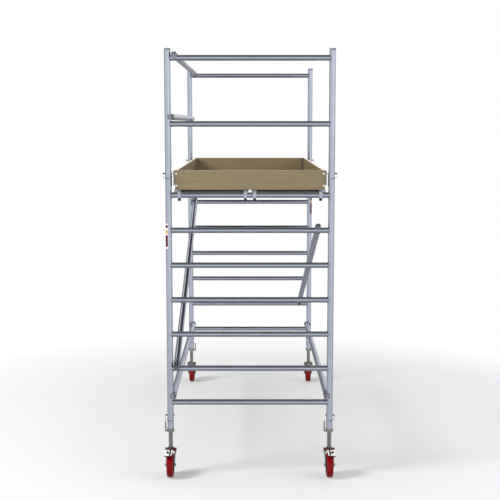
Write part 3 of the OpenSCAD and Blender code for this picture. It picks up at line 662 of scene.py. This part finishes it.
def make_claw_details():
    """Pivot heads and tube rivets on each claw, and black blocks in the slots between its ribs, which paint
    the shade in those slots.
    """
    heads, slot_shade_blocks = [], []
    for place, grip in claw_places():
        for side in (-1, 1):
            flat = place @ Matrix.Diagonal((1, 1, side, 1))
            for x, y, z, radius in CLAW_HEADS:
                spot = flat @ Matrix.Translation((x * MM, y * MM, z * MM))
                heads.append(moved(dome(radius * MM, 1.8 * MM), spot))
        # Painted shade: black blocks fill the slots so they read dark.
        front, low = -grip - CLAW_WALL + 4 * MM, grip + 3.4 * MM
        outline = [(front, low), (5.8 * MM, low), (5.8 * MM, 48 * MM), (front, 48 * MM)]
        for z in (-9, 9):
            slot_shade_blocks.append(moved(extruded(outline, (z - 3.4) * MM, (z + 3.4) * MM), place))
    piece("claw_rivets", merged(heads), "root", "zinc_steel")
    piece("claw_slot_shade_blocks", merged(slot_shade_blocks), "root", "black_plastic")


def make_brace_crimps():
    """Two raised bands pressed round each end of every brace tube."""
    band = ring(BRACE_R - 1 * MM, BRACE_R + 0.7 * MM, -2.2 * MM, 2.2 * MM, 0.6 * MM)
    bands = []
    for name in BRACES:
        start, length = brace_place(name)
        for x in (55 * MM, 96 * MM, length - 55 * MM, length - 96 * MM):
            place = start @ Matrix.Translation((x, BRACE_OFF, 0)) @ Matrix.Rotation(pi / 2, 4, "Y")
            bands.append(moved(band, place))
    piece("brace_crimps", merged(bands), "root", "aluminium_tube", "weld")


# ---------------------------------------------------------------- legs

def thread_radius(turns):
    """Trapezoidal thread: the radius at a share of one pitch."""
    share = turns % 1.0
    if share < 0.3:
        depth = 0.0
    elif share < 0.45:
        depth = (share - 0.3) / 0.15
    elif share < 0.85:
        depth = 1.0
    else:
        depth = (1.0 - share) / 0.15
    return SCREW_R - THREAD_DEPTH * depth


def threaded_tube():
    """Hollow screw about Z, threaded from above the swivel head to its upper end."""
    around, low, high = 40, THREAD_LOW_Z, SCREW_BOX[1].z
    steps = int((high - low) / THREAD_PITCH * 7)
    core_r = SCREW_R - THREAD_DEPTH
    rows = [circle_row(core_r, z, around) for z in (SCREW_BOTTOM_Z, low - 1 * MM)]
    for i in range(steps + 1):
        z = low + (high - low) * i / steps
        row = []
        for j in range(around):
            radius = thread_radius(z / THREAD_PITCH - j / around)
            row.append((radius * cos(tau * j / around), radius * sin(tau * j / around), z))
        rows.append(row)
    rows += [circle_row(SCREW_BORE_R, z, around) for z in (high, BORE_LOW_Z)]
    return grid(rows, capped=True)


def cut_slots(shape):
    """Cuts the locking slot through both sides of the screw."""
    mesh = bpy.data.meshes.new("screw_cut")
    mesh.from_pydata(shape[0], [], shape[1])
    screw = bpy.data.objects.new("screw_cut", mesh)
    bpy.context.scene.collection.objects.link(screw)
    outline = rounded_rectangle(SLOT_Z[1] - SLOT_Z[0], SLOT_W, SLOT_W / 2 - 0.1 * MM)
    slot = moved(extruded(outline, -2 * SCREW_R, 2 * SCREW_R),
                 Matrix.Translation((0, 0, sum(SLOT_Z) / 2)) @ Matrix.Rotation(pi / 2, 4, "Y"))
    cutter_mesh = bpy.data.meshes.new("slot_cutter")
    cutter_mesh.from_pydata(slot[0], [], slot[1])
    cutter = bpy.data.objects.new("slot_cutter", cutter_mesh)
    bpy.context.scene.collection.objects.link(cutter)
    cut = screw.modifiers.new("slot", "BOOLEAN")
    cut.operation = "DIFFERENCE"
    cut.object = cutter
    cut.solver = "EXACT"
    bpy.context.view_layer.update()
    result = screw.evaluated_get(bpy.context.evaluated_depsgraph_get()).to_mesh()
    points = [tuple(v.co) for v in result.vertices]
    faces = [list(p.vertices) for p in result.polygons]
    bpy.data.objects.remove(screw)
    bpy.data.objects.remove(cutter)
    return points, faces


def make_leg_screws():
    """Each screw is one piece with its thread, slots, race and kingpin, in place of the plain CAD one."""
    race = lathe([(29 * MM, 222.6 * MM), (31 * MM, 223.6 * MM), (31 * MM, 227 * MM), (29.5 * MM, 228.6 * MM),
                  (21 * MM, 228.6 * MM), (18 * MM, 231.5 * MM), (12 * MM, 231.6 * MM)], 64)
    kingpin = lathe([(10 * MM, 193 * MM), (12 * MM, 194 * MM), (12 * MM, 202 * MM), (7 * MM, 203.6 * MM),
                     (7 * MM, 236 * MM)], 32)
    screw = merged([cut_slots(threaded_tube()), race, kingpin])
    for corner in CORNERS:
        shape = moved(screw, post_place(corner))
        made = piece(f"threaded_screw_{corner}", shape, f"leg_screw_{corner}", "zinc_steel")
        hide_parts(f"leg_screw_{corner}")


def make_nut_details():
    """A knurled band round each leg nut, closed inside by a plain wall."""
    outer = 29 * MM
    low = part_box("leg_nut_rear_right")[0].z
    around = 160
    rows = []
    for z, lift in ((8, 0), (9, 1), (24, 1), (25, 0)):
        row = []
        for j in range(around):
            a = tau * j / around
            crest = (0, 0.7, 1, 0.7)[j % 4]
            radius = outer - 0.3 * MM + lift * crest * 1.1 * MM
            row.append((radius * cos(a), radius * sin(a), low + z * MM))
        rows.append(row)
    rows += [circle_row(outer - 0.8 * MM, low + z * MM, around) for z in (25, 8)]
    knurl = grid(rows, closed_rows=True)
    for corner in CORNERS:
        shape = moved(knurl, post_place(corner))
        piece(f"nut_knurl_{corner}", shape, f"leg_nut_{corner}", "zinc_steel")


# ---------------------------------------------------------------- castors

def wheel_rib(angle):
    """Radial rib between hub and rim on one face of the wheel, drawn about Z with the face up."""
    reach = [(HUB_R - 2 * MM, 11 * MM, 2.6 * MM), (34 * MM, 9 * MM, 2.2 * MM),
             (52 * MM, 8 * MM, 2.2 * MM), (RIM_IN_R + 1 * MM, 10 * MM, 3.2 * MM)]
    rows = []
    for radius, tall, half in reach:
        rows.append([(radius, -half - 1 * MM, WEB_HALF - 1 * MM), (radius, half + 1 * MM, WEB_HALF - 1 * MM),
                     (radius, half, WEB_HALF + tall - 0.8 * MM), (radius, half - 0.8 * MM, WEB_HALF + tall),
                     (radius, 0.8 * MM - half, WEB_HALF + tall), (radius, -half, WEB_HALF + tall - 0.8 * MM)])
    return moved(grid(rows, capped=True), Matrix.Rotation(angle, 4, "Z"))


def make_wheel_details():
    """Ribs in the recess on both faces, rim beads, and a bearing cap round the axle."""
    ribs = [wheel_rib(tau * k / 10) for k in range(10)]
    rim = ring(RIM_IN_R - 3 * MM, RIM_IN_R + 1 * MM, WEB_HALF - 1 * MM, WHEEL_W / 2 - 1.5 * MM, 1 * MM)
    collar = ring(HUB_R - 1 * MM, HUB_R + 3 * MM, WEB_HALF - 1 * MM, WEB_HALF + 6 * MM, 1.5 * MM)
    bearing = ring(7 * MM, 19 * MM, 29 * MM, 30.4 * MM, 0.4 * MM)
    seal = ring(9.5 * MM, 16 * MM, 30.2 * MM, 30.7 * MM, 0.2 * MM)
    faces = {"ribs": (merged(ribs + [rim, collar]), "red_wheel"), "bearing": (bearing, "zinc_steel"),
             "seal": (seal, "black_plastic")}
    for corner in CORNERS:
        turn = Matrix.Translation((0, AXLE_Y, WHEEL_R)) @ Matrix.Rotation(pi / 2, 4, "Y")
        for name, (shape, slot) in faces.items():
            both = [moved(shape, corner_place(corner) @ turn @ Matrix.Diagonal((1, 1, side, 1)))
                    for side in (-1, 1)]
            piece(f"wheel_{name}_{corner}", merged(both), f"castor_wheel_{corner}", slot)


def make_fork_details():
    """Swivel-head ring, grease nipple, and a washer and nut on each end of the axle."""
    head = ring(20 * MM, 32.4 * MM, 216 * MM, 221.9 * MM, 1.2 * MM)
    nipple = lathe([(3 * MM, 0), (3 * MM, 2 * MM), (1.8 * MM, 3 * MM), (2.2 * MM, 5 * MM),
                    (0.6 * MM, 6 * MM)], 16)
    backward = Matrix.Translation((0, 31.5 * MM, 214 * MM)) @ Matrix.Rotation(-pi / 2, 4, "X")
    washer = ring(6 * MM, 13 * MM, 0, 1.6 * MM)
    nut = lathe([(5 * MM, 6 * MM), (5 * MM, 9.6 * MM), (4.2 * MM, 10.4 * MM)], 24)
    shapes = [head, moved(nipple, backward)]
    for side in (-1, 1):
        outward = Matrix.Diagonal((side, 1, 1, 1)) @ Matrix.Translation((36 * MM, AXLE_Y, WHEEL_R))
        outward = outward @ Matrix.Rotation(pi / 2, 4, "Y")
        shapes += [moved(washer, outward), moved(nut, outward)]
    for corner in CORNERS:
        made = moved(merged(shapes), corner_place(corner))
        piece(f"fork_fittings_{corner}", made, f"castor_fork_{corner}", "zinc_steel")


PEDAL_TILT = radians(10)
PEDAL_TOP = Vector((0, 42 * MM, 219 * MM))


def on_pedal(x, along, lift):
    """Place on the sloping top of a rear pedal: across, forward along the plate, and above it."""
    place = Matrix.Translation(PEDAL_TOP) @ Matrix.Rotation(-PEDAL_TILT, 4, "X")
    return place @ Matrix.Translation((x, along, lift))


def make_pedal_details():
    """Pale ribbed tread on the pedal, a black strip down it, a black knob and a black front edge."""
    plate_t = 1.6 * MM
    in_millimetres = Matrix.Diagonal((MM, MM, plate_t, 1))
    plate = extruded([(-22, 4), (45, 4), (45, 103), (-13, 103)], 0, 1)
    tread = [moved(plate, on_pedal(0, 0, 0.05 * MM) @ in_millimetres)]
    bar = extruded(rounded_rectangle(30 * MM, 3.2 * MM, 1.5 * MM), 0, 1.2 * MM)
    for k in range(7):
        tread.append(moved(bar, on_pedal(26 * MM, (26 + 11 * k) * MM, plate_t)))
    strip = extruded(rounded_rectangle(11 * MM, 96 * MM, 4 * MM), 0, 2.4 * MM)
    knob = lathe([(9 * MM, 0), (9.5 * MM, 2 * MM), (8 * MM, 8 * MM), (10 * MM, 11 * MM),
                  (9 * MM, 14 * MM), (4 * MM, 15.4 * MM)], 28)
    lip = extruded(rounded_rectangle(58 * MM, 4 * MM, 1.5 * MM), -4.5 * MM, 1.8 * MM)
    rubbers = merged([moved(strip, on_pedal(0, 53 * MM, plate_t)),
                      moved(knob, on_pedal(19 * MM, 60 * MM, plate_t)),
                      moved(lip, on_pedal(16 * MM, 105.5 * MM, 0))])
    for corner in CORNERS:
        outer = SIDE[corner.split("_")[1]]
        place = corner_place(corner) @ Matrix.Diagonal((outer, 1, 1, 1))
        piece(f"pedal_tread_{corner}", moved(merged(tread), place), f"brake_pedal_{corner}", "red_paint",
              "white_nylon")
        piece(f"pedal_rubbers_{corner}", moved(rubbers, place), f"brake_pedal_{corner}", "black_plastic")


# ---------------------------------------------------------------- deck

def make_deck_rivets():
    """Rows of rivets that hold the panels to the side beams, with none on the trapdoor."""
    (hatch_left, hatch_near, _), (_, hatch_far, _) = TRAPDOOR
    head = dome(6 * MM, 1.3 * MM)
    pitch = 2 * (PANEL_END_Y - DECK_RIVET_IN) / (DECK_RIVETS - 1)
    heads = []
    for side in (-1, 1):
        for x in BEAM_X:
            for k in range(DECK_RIVETS):
                y = -PANEL_END_Y + DECK_RIVET_IN + k * pitch
                on_hatch = side > 0 and hatch_left < x < HINGE_X and hatch_near < y < hatch_far
                if not on_hatch:
                    heads.append(moved(head, Matrix.Translation((side * x, y, DECK_Z))))
    piece("deck_rivets", merged(heads), "root", "zinc_steel")


def make_trapdoor_edging():
    """Flat aluminium strip round the trapdoor's upper face."""
    (left, near, _), (_, far, _) = TRAPDOOR
    right = HINGE_X - 30 * MM
    wide, tall = 16 * MM, 0.9 * MM
    left, near, far = left + 1 * MM, near + 1 * MM, far - 1 * MM
    strips = []
    for x0, x1, y0, y1 in ((left, left + wide, near, far), (left + wide, right, near, near + wide),
                           (left + wide, right, far - wide, far), (right, right + wide / 2, near, far)):
        strips.append(extruded([(x0, y0), (x1, y0), (x1, y1), (x0, y1)], DECK_Z - 0.3 * MM, DECK_Z + tall))
    piece("trapdoor_edging", merged(strips), "trapdoor", "deck_plywood", "aluminium_beam")


def make_end_shade_strips():
    """Black strips along the upper edge of each platform's end members, painting the shade under the deck
    panels' end edges.
    """
    # Painted shade: a black strip where the deck edge shades the end member.
    strips = []
    for end in (-1, 1):
        for side in (-1, 1):
            outline = rounded_rectangle(BEAM_X[1] - BEAM_X[0] - BEAM_W - 1 * MM, 3.4 * MM, 1 * MM)
            at = Matrix.Translation((side * sum(BEAM_X) / 2, end * BEAM_END_Y, DECK_Z - DECK_T - 1.8 * MM))
            strips.append(moved(extruded(outline, -1 * MM, 1 * MM), at @ Matrix.Rotation(pi / 2, 4, "X")))
    piece("deck_end_shade_strips", merged(strips), "root", "black_plastic")


def make_hinge_screws():
    """Countersunk screws in both leaves of each trapdoor hinge."""
    screw = lathe([(3.4 * MM, 0), (3.4 * MM, 0.3 * MM), (2.6 * MM, 0.7 * MM), (0.4 * MM, 0.8 * MM)], 20)
    for name, x, body in (("fixed", HINGE_X + 20 * MM, "root"), ("moving", HINGE_X - 18 * MM, "trapdoor")):
        heads = [moved(screw, Matrix.Translation((x, y + dy * MM, DECK_Z + 2 * MM)))
                 for y in HINGE_Y for dy in (-20, 0, 20)]
        piece(f"hinge_screws_{name}", merged(heads), body, "zinc_steel")


def make_hook_rivets():
    """Two rivets through the flank of each platform hook."""
    flank = 15 * MM
    head = dome(4 * MM, 1.6 * MM)
    heads = []
    for end in (-1, 1):
        for side in (-1, 1):
            for x in BEAM_X:
                for out in (-1, 1):
                    for y, z in ((-28, 12), (30, -14)):
                        place = (side * x + out * flank, end * (FRAME_Y - y * MM), RUNG_Z[6] + z * MM)
                        turn = Matrix.Rotation(out * pi / 2, 4, "Y")
                        heads.append(moved(head, Matrix.Translation(place) @ turn))
    piece("hook_rivets", merged(heads), "root", "zinc_steel")


# ---------------------------------------------------------------- CAD nodes

def dress(node, material):
    slots = frame["nodes"][node].data.materials
    slots.clear()
    slots.append(MATERIALS[material])


def dress_cad():
    own = {f"{level}_pin_{corner}": "pin_zinc" for level in ("lower", "upper") for corner in CORNERS}
    own |= {"brace_tubes": "brace_tube", "post_caps": "grey_cap", "toe_board_bolts": "bolt_glint",
            "toe_board_brackets": "bracket_bronze", "platform_hooks": "hook_alloy"}
    for part in frame["record"]["subparts"]:
        dress(part["node"], own.get(part["node"], part["material_slot"]))


# ---------------------------------------------------------------- studio

CAMERA_PLACE = (0, -9.768, 2.867)
CAMERA_DOWN = 6.957
LENS = 74.48
SENSOR = 36
FLOOR_TONE = 0.74
FLOOR_RINGS = (0.0005, 2, 4, 6, 9, 13, 20, 60)


def make_floor():
    """Bright floor that fades into the white background a few metres from the tower."""
    s = Shader("studio_floor")
    away = s.math("SQRT", s.math("ADD", s.math("POWER", s.x, 2.0), s.math("POWER", s.y, 2.0)))
    s.look(Base_Color=[FLOOR_TONE, FLOOR_TONE, FLOOR_TONE, 1], Roughness=0.6)
    glow = s.add("ShaderNodeEmission", {"Color": [1, 1, 1, 1], "Strength": 1.0})
    share = s.spread(away, 1.6, 4.2, 0.2, 1.0)
    blend = s.add("ShaderNodeMixShader", {0: share, 1: s.surface.outputs[0], 2: glow.outputs[0]})
    s.tree.links.new(blend.outputs[0], s.tree.nodes["Material Output"].inputs["Surface"])
    points, faces = grid([circle_row(radius, 0, 96) for radius in FLOOR_RINGS])
    mesh = bpy.data.meshes.new("floor")
    mesh.from_pydata(points, [], faces)
    mesh.materials.append(s.material)
    floor = bpy.data.objects.new("floor", mesh)
    floor.visible_glossy = False
    bpy.context.scene.collection.objects.link(floor)


def make_world():
    """White background, and for the reflections a studio: bright walls, dim ceiling and ground,
    a dark gap low on the far left, a bright strip behind the camera and two lamps high up ahead."""
    world = bpy.data.worlds.new("studio")
    world.use_nodes = True
    bpy.context.scene.world = world
    tree = world.node_tree

    def feed(socket, value):
        if isinstance(value, bpy.types.NodeSocket):
            tree.links.new(value, socket)
        else:
            socket.default_value = value

    def math(operation, first, second=0.0):
        node = tree.nodes.new("ShaderNodeMath")
        node.operation = operation
        feed(node.inputs[0], first)
        feed(node.inputs[1], second)
        return node.outputs[0]

    def spread(value, low, high, out_low, out_high):
        node = tree.nodes.new("ShaderNodeMapRange")
        for socket, given in zip(node.inputs, (value, low, high, out_low, out_high)):
            feed(socket, given)
        return node.outputs[0]

    def times(first, second):
        return math("MULTIPLY", first, second)

    direction = tree.nodes.new("ShaderNodeTexCoord").outputs["Generated"]
    split = tree.nodes.new("ShaderNodeSeparateXYZ")
    tree.links.new(direction, split.inputs[0])
    across, along, up = split.outputs
    above = spread(up, 0.24, 0.5, 1.0, 0.2)
    below = spread(up, -0.75, -0.05, 0.32, 1.0)
    ahead = spread(along, 0.1, 0.6, 0.0, 1.0)
    far_ground = times(ahead, times(spread(up, -0.03, 0.03, 0.52, 0.0), spread(up, -0.75, -0.35, 0.0, 1.0)))
    sides = spread(math("ABSOLUTE", across), 0.75, 1.0, 1.0, 0.86)
    off_strip = math("ABSOLUTE", math("SUBTRACT", across, 0.58))
    strip = times(spread(off_strip, 0.1, 0.3, 0.6, 0.0), spread(along, -0.3, -0.6, 0.0, 1.0))
    strip = times(strip, spread(up, -0.12, 0.02, 0.1, 1.0))
    off_box = math("ABSOLUTE", math("SUBTRACT", math("ABSOLUTE", across), 0.38))
    boxes = times(times(spread(off_box, 0.06, 0.13, 1.3, 0.0), ahead), spread(up, 0.3, 0.45, 0.0, 1.0))
    level = math("ADD", math("SUBTRACT", sides, far_ground), strip)
    far_ceiling = times(ahead, spread(up, 0.24, 0.45, 0.0, 0.7))
    off_gap = math("ABSOLUTE", math("SUBTRACT", up, 0.14))
    gap = times(times(ahead, spread(across, -0.17, -0.10, 0.9, 0.0)), spread(off_gap, 0.12, 0.17, 1.0, 0.0))
    strength = times(times(above, below), times(level, math("SUBTRACT", 1.0, math("ADD", far_ceiling, gap))))
    strength = math("ADD", strength, boxes)
    seen = tree.nodes.new("ShaderNodeLightPath").outputs["Is Camera Ray"]
    strength = math("MAXIMUM", strength, seen)
    feed(tree.nodes["Background"].inputs["Strength"], strength)
    feed(tree.nodes["Background"].inputs["Color"], (1.0, 1.0, 1.0, 1.0))


def make_light(name, place, aim, size, power):
    """White rectangular lamp aimed at a point, and not seen in reflections."""
    light = bpy.data.lights.new(name, "AREA")
    light.shape = "RECTANGLE"
    light.size, light.size_y = size
    light.energy = power
    lamp = bpy.data.objects.new(name, light)
    lamp.location = place
    lamp.rotation_euler = (Vector(aim) - Vector(place)).to_track_quat("-Z", "Y").to_euler()
    lamp.visible_glossy = False
    bpy.context.scene.collection.objects.link(lamp)


def make_camera():
    lens = bpy.data.cameras.new("camera")
    lens.sensor_width = SENSOR
    lens.lens = LENS
    camera = bpy.data.objects.new("camera", lens)
    camera.location = CAMERA_PLACE
    camera.rotation_euler = (radians(90 - CAMERA_DOWN), 0, 0)
    bpy.context.scene.collection.objects.link(camera)
    bpy.context.scene.camera = camera


make_camera()
make_world()
make_floor()
make_light("key", (-9.0, -4.8, 8.0), (0, 0, 0.5), (3.5, 3.5), 1400)
make_light("fill", (6.5, -2.5, 5.0), (0, 0, 1.5), (4.0, 4.0), 190)
make_light("top", (0.0, 0.5, 8.0), (0, 0, 0), (4.0, 4.0), 110)
make_light("front", (0.0, -9.0, 5.0), (0, 0, 1.8), (5.0, 3.0), 100)
bpy.context.scene.view_settings.view_transform = "Standard"

dress_cad()
make_welds()
make_post_details()
make_stickers()
make_claw_details()
make_brace_crimps()
make_leg_screws()
make_nut_details()
make_wheel_details()
make_fork_details()
make_pedal_details()
make_deck_rivets()
make_trapdoor_edging()
make_end_shade_strips()
make_hinge_screws()
make_hook_rivets()
